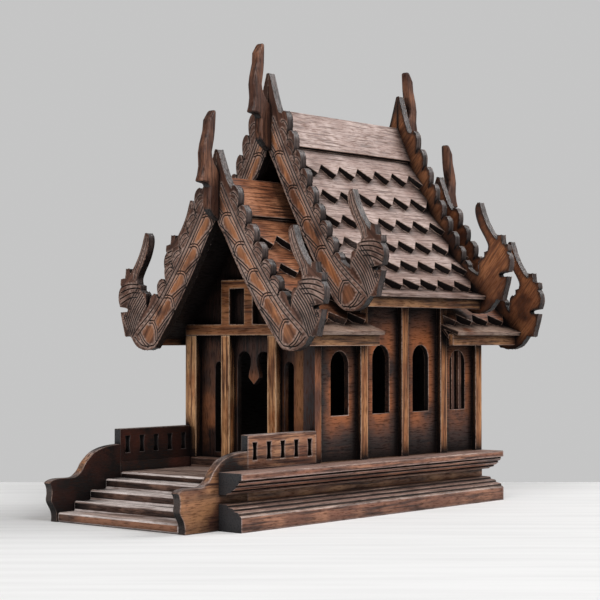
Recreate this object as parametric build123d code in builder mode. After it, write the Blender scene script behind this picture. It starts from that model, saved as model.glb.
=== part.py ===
"""A small carved wooden spirit house on a stepped base, under three overlapping gable roofs.

The house faces -Y and stands on Z = 0. Lengths are in millimetres. The origin is on the
ground, under the middle of the whole outline.
"""

import os
from collections import namedtuple
from math import hypot

from build123d import *

os.makedirs("parts", exist_ok=True)

# Lengths along the house, each measured from the middle of the hall
cheek_reach = 285.5  # nose of the stair cheeks
stair_reach = 277.0  # front of the lowest step
base_front = 240.6  # cut front end of the right-hand base mouldings
stair_top = 207.0  # front edge of the porch, where the left-hand mouldings start
base_back = 119.4  # cut back end of the base
front_wall_reach = 115.2  # outer face of the front wall
back_wall_reach = 119.0  # outer face of the back wall
main_gable_reach = 96.8  # front face of the main gable boards
low_gable_reach = 162.4  # front face of the low gable boards
hall_reach = 54.0  # the tall hall between the two low bays

# Base and stairs
base_half = 100.0
waist_half = 76.3
board_t = 7.5
base_h = 45.4
porch_h = 36.9
floor_t = 8.0
plinth_h = 21.0
cornice_foot = 28.3
cheek_h = 60.0
step_count = 4
riser = 8.0
rail_top = 72.7
rail_slot_count = 5
rail_slot_w = 5.6
rail_slot_waist = 3.9
rail_slot_foot = 52.5
rail_slot_top = 66.5

# Walls, windows and posts
wall_half = 71.5
wall_t = 5.0
window_w = 24.0
window_sill = 84.0
hall_window_top = 143.4
bay_window_top = 138.5
bar_w = 4.5
bar_t = 3.0
bar_step = 11.0
door_w = 37.6
door_spring = 130.3
drop_neck_w = 7.2
drop_bulb_w = 12.4
drop_neck_h = 7.8
drop_bulb_h = 7.2
drop_tip_h = 6.0
slit_w = 9.9
slit_sill = 50.0
slit_top = 129.0
slit_x = 40.2
post_w = 10.0
post_half = 76.3
side_post_step = 58.3
front_post_d = 7.4
front_post_x = 26.8
corner_post_inner = 61.8
corner_post_outer = 74.7
tie_foot = 151.8
tie_top = 161.4
collar_foot = 192.2
collar_top = 199.9
gable_sill = 150.0

# Roofs
main_ridge = 350.3
main_eave = 187.0
main_half_span = 97.0
main_courses = 6
low_ridge = 286.0
low_eave = 154.0
low_half_span = 92.0
low_courses = 4
plank_lift = 2.4
plank_sink = 3.6
plank_body = 7.2
deck_top_drop = 9.0
deck_foot_drop = 13.0
tooth_pitch = 25.8
tooth_depth = 11.7
eave_out = 4.0
eave_lift = 1.2
eave_plank_t = 3.4
eave_beam_t = 5.0
eave_beam_h = 10.5
eave_beam_in = 7.3
eave_beam_drop = 11.0

# Gable boards and finials
gable_board_t = 6.5
gable_board_below = 33.5
main_apex_rise = 30.0
low_apex_rise = 22.0
apex_half = 1.5
apex_foot_half = 12.0
apex_foot_drop = 4.0
main_leaves = 9
main_leaf_rise_top = 33.0
main_leaf_rise_foot = 9.0
low_leaves = 7
low_leaf_rise_top = 25.0
low_leaf_rise_foot = 13.0
naga_h = 102.0
main_naga_in = 5.0
low_naga_in = 9.0
naga_drop = 15.0
chofa_h = 93.2
chofa_t = 8.5
chofa_foot_drop = 38.5

# Shares
roof_sag_share = 0.32
main_ridge_plank_share = 0.157
main_last_tip_share = 0.94
main_first_leaf_share = 0.18
low_ridge_plank_share = 0.199
low_last_tip_share = 0.90
low_first_leaf_share = 0.207
last_leaf_share = 0.79
main_front_lean_share = 0.05

# Mouldings, as shares of their projection and height
plinth_shares = (
    (0, 0),
    (1, 0),
    (1, 0.59),
    (0.91, 0.66),
    (0.84, 0.66),
    (0.62, 0.81),
    (0.55, 0.81),
    (0.36, 0.96),
    (0.03, 1),
    (0, 1),
)
cornice_shares = (
    (0, 0),
    (0.03, 0),
    (0.346, 0.03),
    (0.58, 0.11),
    (0.76, 0.30),
    (0.82, 0.48),
    (0.90, 0.62),
    (1, 0.70),
    (1, 1),
    (0, 1),
)

# Stair cheek, as shares of its length from the nose and of its height: up the front, then along the top
cheek_front_shares = (
    (0.096, 0),
    (0.102, 0.075),
    (0.088, 0.150),
    (0.055, 0.220),
    (0.028, 0.292),
    (0.034, 0.370),
    (0.030, 0.460),
    (0, 0.530),
)
cheek_top_shares = (
    (0, 0.530),
    (0.050, 0.568),
    (0.125, 0.583),
    (0.305, 0.580),
    (0.358, 0.588),
    (0.408, 0.625),
    (0.457, 0.683),
    (0.493, 0.755),
    (0.549, 0.827),
    (0.608, 0.888),
    (0.694, 0.940),
    (0.811, 0.977),
    (1, 1),
)

# One crest leaf, as shares of the step to the next leaf: across, then down from its tip
leaf_shares = (
    (-0.25, 0.12),
    (-0.08, 0.02),
    (0.15, 0),
    (0.42, 0.10),
    (0.66, 0.32),
    (0.72, 0.57),
    (0.67, 0.89),
    (0.52, 1.22),
)
last_leaf_points = 6

# Naga head at a gable board's foot, as shares of its height: out from its chin line, and up
naga_shares = (
    (0, 0.345),
    (0.005, 0.440),
    (0.012, 0.478),
    (0.035, 0.500),
    (0.040, 0.488),
    (0.070, 0.512),
    (0.070, 0.551),
    (0.108, 0.565),
    (0.112, 0.610),
    (0.085, 0.670),
    (0.045, 0.735),
    (0.012, 0.795),
    (-0.014, 0.865),
    (-0.026, 0.925),
    (-0.020, 0.975),
    (0, 1),
    (0.020, 1),
    (0.040, 0.945),
    (0.055, 0.897),
    (0.100, 0.800),
    (0.160, 0.707),
    (0.195, 0.668),
    (0.205, 0.660),
    (0.213, 0.700),
    (0.254, 0.700),
    (0.258, 0.655),
    (0.265, 0.620),
    (0.315, 0.612),
    (0.321, 0.565),
    (0.311, 0.548),
    (0.334, 0.515),
    (0.345, 0.470),
    (0.343, 0.425),
    (0.326, 0.372),
    (0.246, 0.360),
    (0.228, 0.350),
    (0.236, 0.330),
    (0.318, 0.326),
    (0.313, 0.300),
    (0.304, 0.262),
    (0.277, 0.172),
    (0.264, 0.118),
    (0.232, 0.116),
    (0.198, 0.124),
    (0.172, 0.090),
    (0.130, 0.042),
    (0.070, 0.011),
    (0, 0),
    (-0.070, 0.012),
)

# Horn finial at a gable's peak, as shares of its height: out from the gable, and up
chofa_shares = (
    (0, 0),
    (0.075, 0.043),
    (0.134, 0.102),
    (0.142, 0.186),
    (0.129, 0.300),
    (0.145, 0.330),
    (0.245, 0.345),
    (0.219, 0.407),
    (0.202, 0.488),
    (0.208, 0.607),
    (0.191, 0.689),
    (0.150, 0.812),
    (0.139, 0.909),
    (0.075, 0.998),
    (0.045, 1),
    (0.050, 0.912),
    (0.057, 0.820),
    (0.069, 0.739),
    (0.098, 0.616),
    (0.091, 0.569),
    (0.060, 0.510),
    (0.027, 0.470),
    (0, 0.430),
)

# The middle of the hall, placed so that the whole outline is centred on the origin
beak_reach = low_gable_reach + chofa_h * max(out for out, up in chofa_shares)
hall_y = (cheek_reach - beak_reach) / 2

waist_inner = waist_half - board_t
wall_inner = wall_half - wall_t
front_post_reach = front_wall_reach + front_post_d
wall_front = front_wall_reach - wall_t
wall_back = back_wall_reach - wall_t
corner_post_reach = back_wall_reach - post_w / 2
main_run = main_gable_reach - gable_board_t
low_run = low_gable_reach - gable_board_t
hall_cross = Plane.XZ.offset(-hall_y)
middle = Plane.YZ

Roof = namedtuple(
    "Roof",
    "half_span ridge eave courses ridge_plank_share last_tip_share "
    "apex_rise leaves first_leaf_share leaf_rise_top leaf_rise_foot naga_in",
)
main_roof = Roof(
    half_span=main_half_span, ridge=main_ridge, eave=main_eave, courses=main_courses,
    ridge_plank_share=main_ridge_plank_share, last_tip_share=main_last_tip_share,
    apex_rise=main_apex_rise, leaves=main_leaves, first_leaf_share=main_first_leaf_share,
    leaf_rise_top=main_leaf_rise_top, leaf_rise_foot=main_leaf_rise_foot, naga_in=main_naga_in,
)
low_roof = Roof(
    half_span=low_half_span, ridge=low_ridge, eave=low_eave, courses=low_courses,
    ridge_plank_share=low_ridge_plank_share, last_tip_share=low_last_tip_share,
    apex_rise=low_apex_rise, leaves=low_leaves, first_leaf_share=low_first_leaf_share,
    leaf_rise_top=low_leaf_rise_top, leaf_rise_foot=low_leaf_rise_foot, naga_in=low_naga_in,
)


def fall(share):
    """Share of a roof's height lost by a share of its half span, sagging towards the eave."""
    return (1 + roof_sag_share) * share - roof_sag_share * share**2


def roof_point(roof, share, drop=0):
    """Point on a roof's line in X and Z, let down by a drop."""
    return (roof.half_span * share, roof.ridge - (roof.ridge - roof.eave) * fall(share) - drop)


def course_shares(roof):
    """Shares of the half span where the roof planks end, from the ridge to the eave."""
    step = (roof.last_tip_share - roof.ridge_plank_share) / roof.courses
    return [0] + [roof.ridge_plank_share + step * i for i in range(roof.courses + 1)] + [1]


def prism(outline, plane, depth, mode=Mode.ADD):
    """Straight piece with an outline on a plane and a depth along the plane's normal."""
    with BuildSketch(plane) as face:
        with BuildLine():
            Polyline(*outline, close=True)
        make_face()
    extrude(face.sketch, amount=depth, mode=mode)


def save(piece, name):
    """Label a finished piece and write it."""
    piece.part.label = name
    export_step(piece.part, f"parts/{name}.step")


def save_pair(right, name):
    """Write a right-hand piece and its mirror image on the left."""
    save(right, f"{name}_right")
    with BuildPart() as left:
        add(mirror(right.part, about=middle, mode=Mode.PRIVATE))
    save(left, f"{name}_left")


def scaled(shares, width, height):
    """Outline points from shares of a width and a height."""
    return [(x * width, z * height) for x, z in shares]


# Space under the roofs: everything that carries them is cut to this
def under_line(roof):
    """The underside of a roof, both slopes, closed along the ground."""
    right = [roof_point(roof, share, deck_foot_drop) for share in course_shares(roof)]
    left = [(-x, z) for x, z in reversed(right[1:])]
    return left + right + [(roof.half_span, 0), (-roof.half_span, 0)]


with BuildPart() as under_roofs:
    prism(under_line(low_roof), Plane.XZ.offset(low_run - hall_y), -2 * low_run)
    prism(under_line(main_roof), Plane.XZ.offset(hall_reach - hall_y), -2 * hall_reach)

with BuildPart() as under_main:
    prism(under_line(main_roof), Plane.XZ.offset(main_run - hall_y), -2 * main_run)

# Base: two lengths of moulding each side of a boxed waist
moulding_out = base_half - waist_half
plinth_outline = [(waist_half + x, z) for x, z in scaled(plinth_shares, moulding_out, plinth_h)]
cornice_rise = scaled(cornice_shares, moulding_out, base_h - cornice_foot)
cornice_outline = [(waist_half + x, cornice_foot + z) for x, z in cornice_rise]

for name, outline in (("plinth_moulding", plinth_outline), ("cornice_moulding", cornice_outline)):
    for side, side_name, front in ((1, "right", base_front), (-1, "left", stair_top)):
        with BuildPart() as moulding:
            side_outline = [(side * x, z) for x, z in outline]
            prism(side_outline, Plane.XZ.offset(front - hall_y), -front - base_back)
        save(moulding, f"{name}_{side_name}")

waist_plane = Plane.YZ.offset(waist_inner)

with BuildPart() as waist:
    with BuildSketch(waist_plane) as face:
        with Locations((hall_y - stair_top, 0)):
            Rectangle(stair_top + base_back, base_h, align=Align.MIN)
    extrude(amount=board_t)
save_pair(waist, "waist_board")

# Floor: a low porch behind the stairs, then one step up to the house
porch_foot = porch_h - floor_t
floor_outline = (
    (hall_y - stair_top, porch_foot),
    (hall_y - stair_top, porch_h),
    (hall_y - front_post_reach, porch_h),
    (hall_y - front_post_reach, base_h),
    (hall_y + base_back, base_h),
    (hall_y + base_back, porch_foot),
)
across = Plane.YZ.offset(-waist_inner)

with BuildPart() as platform:
    prism(floor_outline, across, 2 * waist_inner)
save(platform, "platform_board")

with BuildPart() as back_board:
    with BuildSketch(Plane.XY) as face:
        with Locations((0, hall_y + base_back)):
            Rectangle(2 * waist_inner, board_t, align=(Align.CENTER, Align.MAX))
    extrude(amount=porch_foot)
save(back_board, "base_back_board")

# Stairs between two curved cheeks
tread = (stair_reach - stair_top) / step_count
stair_outline = [(hall_y - stair_reach, 0)]
for step in range(step_count):
    front = hall_y - stair_reach + tread * step
    stair_outline.append((front, riser * (step + 1)))
    stair_outline.append((front + tread, riser * (step + 1)))
stair_outline.append((hall_y - stair_top, 0))

with BuildPart() as stairs:
    prism(stair_outline, across, 2 * waist_inner)
save(stairs, "stair_steps")

cheek_length = cheek_reach - stair_top
with BuildPart() as cheek:
    front = [(hall_y - cheek_reach + y, z) for y, z in scaled(cheek_front_shares, cheek_length, cheek_h)]
    top = [(hall_y - cheek_reach + y, z) for y, z in scaled(cheek_top_shares, cheek_length, cheek_h)]
    with BuildSketch(waist_plane) as face:
        with BuildLine():
            Spline(*front)
            Spline(*top)
            Polyline(top[-1], (hall_y - stair_top, 0), front[0])
        make_face()
    extrude(amount=board_t)
save_pair(cheek, "stair_cheek")

# Railing boards with five waisted slots
rail_length = stair_top - front_post_reach
with BuildPart() as rail:
    with BuildSketch(waist_plane) as face:
        with Locations((hall_y - stair_top, base_h)):
            Rectangle(rail_length, rail_top - base_h, align=Align.MIN)
    extrude(amount=board_t)
    slot_h = rail_slot_top - rail_slot_foot
    slot_mid = rail_slot_foot + slot_h / 2
    for i in range(rail_slot_count):
        slot_y = hall_y - stair_top + rail_length * (2 * i + 1) / (2 * rail_slot_count)
        with BuildSketch(waist_plane) as face:
            with BuildLine():
                right_low = (slot_y + rail_slot_w / 2, rail_slot_foot)
                right_top = (slot_y + rail_slot_w / 2, rail_slot_top)
                left_top = (slot_y - rail_slot_w / 2, rail_slot_top)
                left_low = (slot_y - rail_slot_w / 2, rail_slot_foot)
                ThreePointArc(right_low, (slot_y + rail_slot_waist / 2, slot_mid), right_top)
                Line(right_top, left_top)
                ThreePointArc(left_top, (slot_y - rail_slot_waist / 2, slot_mid), left_low)
                Line(left_low, right_low)
            make_face()
        extrude(amount=board_t, mode=Mode.SUBTRACT)
save_pair(rail, "railing")


def arched_opening(plane, centre, width, sill, top, depth, mode=Mode.SUBTRACT):
    """A round-headed opening, cut through or filled."""
    with BuildSketch(plane) as face:
        with BuildLine():
            spring = top - width / 2
            Polyline((centre - width / 2, spring), (centre - width / 2, sill),
                     (centre + width / 2, sill), (centre + width / 2, spring))
            ThreePointArc((centre + width / 2, spring), (centre, top), (centre - width / 2, spring))
        make_face()
    extrude(face.sketch, amount=depth, mode=mode)


# Side walls, one board a side, taller along the hall, with a window in each bay
wall_plane = Plane.YZ.offset(wall_inner)
bay_edges = (-corner_post_reach, -side_post_step, 0, side_post_step, corner_post_reach)
bay_tops = (bay_window_top, hall_window_top, hall_window_top, bay_window_top)
bays = []
for near, far, top in zip(bay_edges, bay_edges[1:], bay_tops):
    bays.append((hall_y + (near + far) / 2, min(window_w, far - near - 2 * post_w), top))


def side_wall(window_plane, window_depth):
    """Right-hand side wall, its windows cut from a plane to a depth."""
    with BuildPart() as wall:
        with BuildSketch(wall_plane) as face:
            with Locations((hall_y - wall_front, base_h)):
                Rectangle(wall_front + wall_back, main_ridge, align=Align.MIN)
        extrude(amount=wall_t)
        add(under_roofs.part, mode=Mode.INTERSECT)
        for bay_middle, width, top in bays:
            arched_opening(window_plane, bay_middle, width, window_sill, top, window_depth)
    return wall


save(side_wall(wall_plane, wall_t), "side_wall_right")

# The left-hand windows are blind: arched recesses to half the wall's depth
blind_wall = side_wall(Plane.YZ.offset(wall_half), -wall_t / 2)
with BuildPart() as left_wall:
    add(mirror(blind_wall.part, about=middle, mode=Mode.PRIVATE))
save(left_wall, "side_wall_left")

# Two upright bars in the right-hand rear window
bar_plane = Plane.YZ.offset(wall_inner + (wall_t - bar_t) / 2)
bar_bay, bar_bay_w, bar_bay_top = bays[-1]
with BuildPart() as bars:
    arched_opening(bar_plane, bar_bay, bar_bay_w, window_sill, bar_bay_top, bar_t, mode=Mode.ADD)
    with BuildSketch(bar_plane) as face:
        for side in (-1, 1):
            with Locations((bar_bay + side * bar_step / 2, window_sill)):
                Rectangle(bar_w, bar_bay_top, align=(Align.CENTER, Align.MIN))
    extrude(amount=bar_t, mode=Mode.INTERSECT)
save(bars, "window_bars")

# End walls up to the low roofs
front_plane = Plane.XZ.offset(front_wall_reach - hall_y)
with BuildPart() as front_wall:
    with BuildSketch(front_plane) as face:
        with Locations((0, base_h)):
            Rectangle(2 * wall_half, main_ridge, align=(Align.CENTER, Align.MIN))
    extrude(amount=-wall_t)
    add(under_roofs.part, mode=Mode.INTERSECT)
    with BuildSketch(front_plane) as face:
        with BuildLine():
            jamb = door_w / 2
            neck = drop_neck_w / 2
            bulb = drop_bulb_w / 2
            scallop = (jamb - neck) / 2
            crown = door_spring + scallop
            neck_foot = door_spring - drop_neck_h
            bulb_z = neck_foot - drop_bulb_h
            Polyline((-jamb, door_spring), (-jamb, base_h), (jamb, base_h), (jamb, door_spring))
            for side in (-1, 1):
                arch_top = (side * (jamb - scallop), crown)
                ThreePointArc((side * jamb, door_spring), arch_top, (side * neck, door_spring))
                Bezier((side * neck, door_spring), (side * neck, neck_foot),
                       (side * bulb, neck_foot), (side * bulb, bulb_z))
                Line((side * bulb, bulb_z), (0, bulb_z - drop_tip_h))
        make_face()
    extrude(amount=-wall_t, mode=Mode.SUBTRACT)
    for side in (-1, 1):
        arched_opening(front_plane, side * slit_x, slit_w, slit_sill, slit_top, -wall_t)
save(front_wall, "front_wall")

back_plane = Plane.XZ.offset(-wall_back - hall_y)
with BuildPart() as back_wall:
    with BuildSketch(back_plane) as face:
        with Locations((0, base_h)):
            Rectangle(2 * wall_half, main_ridge, align=(Align.CENTER, Align.MIN))
    extrude(amount=-wall_t)
    add(under_roofs.part, mode=Mode.INTERSECT)
save(back_wall, "back_wall")

# Gables of the tall hall, above the low roofs
with BuildPart() as hall_gable:
    with BuildSketch(Plane.XZ.offset(hall_reach - hall_y)) as face:
        with Locations((0, gable_sill)):
            Rectangle(2 * wall_inner, main_ridge, align=(Align.CENTER, Align.MIN))
    extrude(amount=-wall_t)
    add(under_roofs.part, mode=Mode.INTERSECT)
save(hall_gable, "hall_gable_front")

with BuildPart() as hall_gable_back:
    add(mirror(hall_gable.part, about=hall_cross, mode=Mode.PRIVATE))
save(hall_gable_back, "hall_gable_back")

# Posts: the three along the hall reach the main roof, and the rear corner one the low roof
with BuildPart() as corner_post:
    with BuildSketch(Plane.XY.offset(base_h)) as face:
        with Locations((wall_half, hall_y + corner_post_reach)):
            Rectangle(post_half - wall_half, post_w, align=(Align.MIN, Align.CENTER))
    extrude(amount=main_ridge)
    add(under_roofs.part, mode=Mode.INTERSECT)

with BuildPart() as side_posts:
    with BuildSketch(Plane.XY.offset(base_h)) as face:
        for reach in (-side_post_step, 0, side_post_step):
            with Locations((wall_half, hall_y + reach)):
                Rectangle(post_half - wall_half, post_w, align=(Align.MIN, Align.CENTER))
    extrude(amount=main_ridge)
    add(under_main.part, mode=Mode.INTERSECT)
    add(corner_post.part)
save_pair(side_posts, "side_posts")

corner_post_w = corner_post_outer - corner_post_inner
corner_post_x = corner_post_inner + corner_post_w / 2
with BuildPart() as front_posts:
    with BuildSketch(Plane.XY.offset(base_h)) as face:
        for x, width in ((front_post_x, post_w), (corner_post_x, corner_post_w)):
            for side in (-1, 1):
                with Locations((side * x, hall_y - front_wall_reach)):
                    Rectangle(width, front_post_d, align=(Align.CENTER, Align.MAX))
    extrude(amount=tie_foot - base_h)
save(front_posts, "front_posts")

# Timber frame in the front gable: tie beam, three short posts and a collar
collar_half = front_post_x + post_w / 2
with BuildPart() as gable_frame:
    with BuildSketch(front_plane) as face:
        with Locations((0, tie_foot)):
            Rectangle(2 * corner_post_outer, tie_top - tie_foot, align=(Align.CENTER, Align.MIN))
        with Locations((0, collar_foot)):
            Rectangle(2 * collar_half, collar_top - collar_foot, align=(Align.CENTER, Align.MIN))
        for x in (-front_post_x, 0, front_post_x):
            with Locations((x, tie_top)):
                Rectangle(post_w, collar_foot - tie_top, align=(Align.CENTER, Align.MIN))
    extrude(amount=front_post_d)
    add(under_roofs.part, mode=Mode.INTERSECT)
save(gable_frame, "front_gable_frame")


def toothed_edge(length, teeth, staggered):
    """Lower edge of a plank: teeth along the length, tips at zero."""
    pitch = length / teeth
    heights = (0, tooth_depth) if staggered else (tooth_depth, 0)
    return [(pitch * i / 2 - length / 2, heights[i % 2]) for i in range(2 * teeth + 1)]


def eave_beam(roof, near, far, mode=Mode.ADD):
    """Square beam under a right-hand eave, or the space that it takes."""
    with BuildSketch(Plane.XZ.offset(-far)) as face:
        with Locations((roof.half_span - eave_beam_in, roof.eave - eave_beam_drop)):
            Rectangle(eave_beam_t, eave_beam_h, align=Align.MIN)
    extrude(face.sketch, amount=far - near, mode=mode)


def roof_slope(roof, near, far):
    """Right-hand slope: a deck under lapped planks, the middle ones cut to teeth."""
    shares = course_shares(roof)
    length = far - near
    beam_share = 1 - eave_beam_in / roof.half_span
    deck_shares = [share for share in shares if share < beam_share] + [beam_share]
    deck = [roof_point(roof, share, deck_top_drop) for share in deck_shares]
    deck += [roof_point(roof, share, deck_foot_drop) for share in reversed(deck_shares)]
    prism(deck, Plane.XZ.offset(-far), length)
    bands = list(zip(shares, shares[1:]))
    for i, (upper_share, lower_share) in enumerate(bands):
        ridge_plank = i == 0
        eave_plank = i == len(bands) - 1
        upper_x, upper_z = roof_point(roof, upper_share)
        lower_x, lower_z = roof_point(roof, lower_share)
        slope = hypot(lower_x - upper_x, lower_z - upper_z)
        out_x = (upper_z - lower_z) / slope
        out_z = (lower_x - upper_x) / slope
        teeth = round(length / tooth_pitch)
        edge = toothed_edge(length, teeth, i % 2)
        body = plank_body
        if ridge_plank or eave_plank:
            edge = [(-length / 2, 0), (length / 2, 0)]
        if not ridge_plank:
            upper_x -= out_x * plank_sink
            upper_z -= out_z * plank_sink
        if eave_plank:
            lower_x += eave_out
            lower_z += eave_lift
            body = eave_plank_t
        elif not ridge_plank:
            lower_x += out_x * plank_lift
            lower_z += out_z * plank_lift
        tilt_x = lower_x - upper_x
        tilt_z = lower_z - upper_z
        plank = Plane(
            origin=(lower_x, (near + far) / 2, lower_z), x_dir=(0, 1, 0), z_dir=(-tilt_z, 0, tilt_x)
        )
        tuck = 0 if ridge_plank else tooth_depth
        top = hypot(tilt_x, tilt_z) + tuck
        prism(edge + [(length / 2, top), (-length / 2, top)], plank, -body)
    prism(under_line(roof), Plane.XZ.offset(-far), length, mode=Mode.SUBTRACT)
    eave_beam(roof, near, far, mode=Mode.SUBTRACT)
    split(bisect_by=middle, keep=Keep.TOP)


with BuildPart() as main_slope:
    roof_slope(main_roof, hall_y - main_run, hall_y + main_run)
save_pair(main_slope, "main_roof")

# The low roofs are notched round the tall posts at the hall's corners
with BuildPart() as front_slope:
    roof_slope(low_roof, hall_y - low_run, hall_y - hall_reach)
    with BuildSketch(Plane.XY) as face:
        with Locations((wall_half, hall_y - hall_reach)):
            notch = side_post_step + post_w / 2 - hall_reach
            Rectangle(post_half - wall_half, notch, align=(Align.MIN, Align.MAX))
    extrude(amount=main_ridge, mode=Mode.SUBTRACT)
save_pair(front_slope, "front_roof")

with BuildPart() as back_slope:
    add(mirror(front_slope.part, about=hall_cross, mode=Mode.PRIVATE))
save_pair(back_slope, "back_roof")


def beam_pair(name, roof, near, far):
    """Both eave beams of a roof, in one piece list."""
    with BuildPart() as beams:
        eave_beam(roof, near, far)
        mirror(about=middle)
    save(beams, name)


beam_pair("main_eave_beams", main_roof, hall_y - main_run, hall_y + main_run)
beam_pair("front_eave_beams", low_roof, hall_y - low_run, hall_y - hall_reach)
beam_pair("back_eave_beams", low_roof, hall_y + hall_reach, hall_y + low_run)


def gable_outline(roof):
    """Right-hand gable board: peak, crest leaves, naga head, and the plain lower edge."""
    peak = roof.ridge + roof.apex_rise
    outline = [(0, peak), (apex_half, peak), (apex_foot_half, roof.ridge - apex_foot_drop)]
    tips = []
    for i in range(roof.leaves):
        along = i / (roof.leaves - 1)
        share = roof.first_leaf_share + (last_leaf_share - roof.first_leaf_share) * along
        rise = roof.leaf_rise_top + (roof.leaf_rise_foot - roof.leaf_rise_top) * along
        tips.append(roof_point(roof, share, -rise))
    for i in range(roof.leaves - 1):
        tip_x, tip_z = tips[i]
        next_x, next_z = tips[i + 1]
        for across, down in leaf_shares:
            outline.append((tip_x + across * (next_x - tip_x), tip_z - down * (tip_z - next_z)))
    for across, down in leaf_shares[:last_leaf_points]:
        outline.append((next_x + across * (next_x - tip_x), next_z - down * (tip_z - next_z)))
    naga_x = roof.half_span - roof.naga_in
    naga_z = roof.eave - naga_drop
    outline += [(naga_x + naga_h * out, naga_z + naga_h * up) for out, up in naga_shares]
    lower_shares = [last_leaf_share * i / roof.leaves for i in range(roof.leaves, -1, -1)]
    outline += [roof_point(roof, share, gable_board_below) for share in lower_shares]
    return outline


def gable_boards(name, roof, reach):
    """Front pair of gable boards and the matching back pair."""
    with BuildPart() as front:
        prism(gable_outline(roof), Plane.XZ.offset(reach - hall_y), -gable_board_t)
    save_pair(front, f"{name}_front_gable_board")
    with BuildPart() as back:
        add(mirror(front.part, about=hall_cross, mode=Mode.PRIVATE))
    save_pair(back, f"{name}_back_gable_board")


gable_boards("main", main_roof, main_gable_reach)
gable_boards("low", low_roof, low_gable_reach)


def chofa_points(roof, reach, lean_share):
    """Side outline of a front horn finial; its seat stays flat on the gable."""
    foot = roof.ridge - chofa_foot_drop
    points = []
    for out, up in chofa_shares:
        lean = lean_share * up if out else 0
        points.append((hall_y - reach - chofa_h * (out + lean), foot + chofa_h * up))
    return points


def chofas(name, roof, reach, front_lean_share):
    """Horn finials at the front and back peaks of a roof; the front one may lean out more."""
    chofa_plane = Plane.YZ.offset(-chofa_t / 2)
    with BuildPart() as front:
        prism(chofa_points(roof, reach, front_lean_share), chofa_plane, chofa_t)
    save(front, f"{name}_front_chofa")
    with BuildPart() as upright:
        prism(chofa_points(roof, reach, 0), chofa_plane, chofa_t)
    with BuildPart() as back:
        add(mirror(upright.part, about=hall_cross, mode=Mode.PRIVATE))
    save(back, f"{name}_back_chofa")


chofas("main", main_roof, main_gable_reach, main_front_lean_share)
chofas("low", low_roof, low_gable_reach, 0)
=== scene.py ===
"""Looks of the carved wooden spirit house: stained wood, carved gable boards, a pale table and soft light."""

from math import ceil, cos, pi, radians, sin

import bpy
import numpy as np
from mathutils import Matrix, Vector
from mathutils.geometry import delaunay_2d_cdt
from mathutils.kdtree import KDTree


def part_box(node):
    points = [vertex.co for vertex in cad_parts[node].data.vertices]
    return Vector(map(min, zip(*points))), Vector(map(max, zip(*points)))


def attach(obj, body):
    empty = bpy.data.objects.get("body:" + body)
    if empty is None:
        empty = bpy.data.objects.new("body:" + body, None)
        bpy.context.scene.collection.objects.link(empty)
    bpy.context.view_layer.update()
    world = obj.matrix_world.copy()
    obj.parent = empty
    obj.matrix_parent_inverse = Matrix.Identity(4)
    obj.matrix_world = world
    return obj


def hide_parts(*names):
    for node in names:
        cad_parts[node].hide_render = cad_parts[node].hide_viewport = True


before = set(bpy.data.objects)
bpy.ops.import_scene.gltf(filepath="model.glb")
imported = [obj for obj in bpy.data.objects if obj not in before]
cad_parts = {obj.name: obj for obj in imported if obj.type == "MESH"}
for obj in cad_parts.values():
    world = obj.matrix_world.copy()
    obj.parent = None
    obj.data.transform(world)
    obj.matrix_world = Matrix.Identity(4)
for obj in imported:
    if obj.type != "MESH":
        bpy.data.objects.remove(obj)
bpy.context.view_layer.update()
mm = 0.001

# Camera, table and lamps, in metres, degrees and watts
camera_place = (0.9745, -1.14897, 0.1479)
camera_azimuth = 40.396
camera_pitch = 1.352
camera_lens = 101.53
camera_near = 0.05
table_far = 1.765
table_near = -0.6
table_half_width = 0.75
table_t = 0.04
lamps = (
    ("sky", (1.95, 3.5, 3.6), 3.1, 162),
    ("right_window", (5.1, -1.0, 3.5), 2.7, 152),
    ("front_fill", (1.1, -4.5, 4.6), 3.1, 166),
)
lamp_aim = (0, 0, 0.17)

# Roof lines that the carving follows, in millimetres, with the number of leaves that are carved
main_roof = {"half_span": 97.0, "ridge": 350.3, "eave": 187.0, "naga_in": 5.0, "leaves": 8}
low_roof = {"half_span": 92.0, "ridge": 286.0, "eave": 154.0, "naga_in": 9.0, "leaves": 6}
roof_sag_share = 0.32
naga_h = 102.0
naga_drop = 15.0

# Points of a board's outline before the first carved leaf, and in each leaf
crest_start = 3
leaf_points = 8

# Grooves, in millimetres
groove_half = 0.75
groove_depth = 1.0
fine_half = 0.6
fine_depth = 0.8
hole_half = 1.5
hole_depth = 3.2
hole_reach = (0.4, 0.2)
line_gap = 2.3
# Where the painted highlight beside a groove is brightest, in half widths out from its middle
ridge_highlight_share = 1.5

# Borders along a board, in millimetres below the roof line
border_upper_drop = -3.5
border_lower_drop = 2.6
border_foot_drop = 29.5
border_shares = (0.06, 0.2, 0.35, 0.5, 0.65, 0.78)

# Bamboo joints across a board, in millimetres and shares of the half span
node_shares = (0.02, 0.19, 0.353, 0.516, 0.679)
joint_step_share = 0.163
node_bulge = 4.3
arc_top = 1.3
arc_span = 15.2
arc_points = 7
leg_start = (1.0, -2.0)
leg_bend_share = 0.55
rib_start_share = 0.5
rib_bend_share = 0.6
leaf_inset_shares = (0.28, 0.56)

# Orange panels between the joints, and the lens below them, in millimetres
panel_drop = 13.0
panel_half = 12.0
panel_gain_share = 2.4
panel_fade_share = 0.45
lens_start_share = 0.85
lens_centre = (3.0, 14.0)
lens_radius = 13.0

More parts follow.
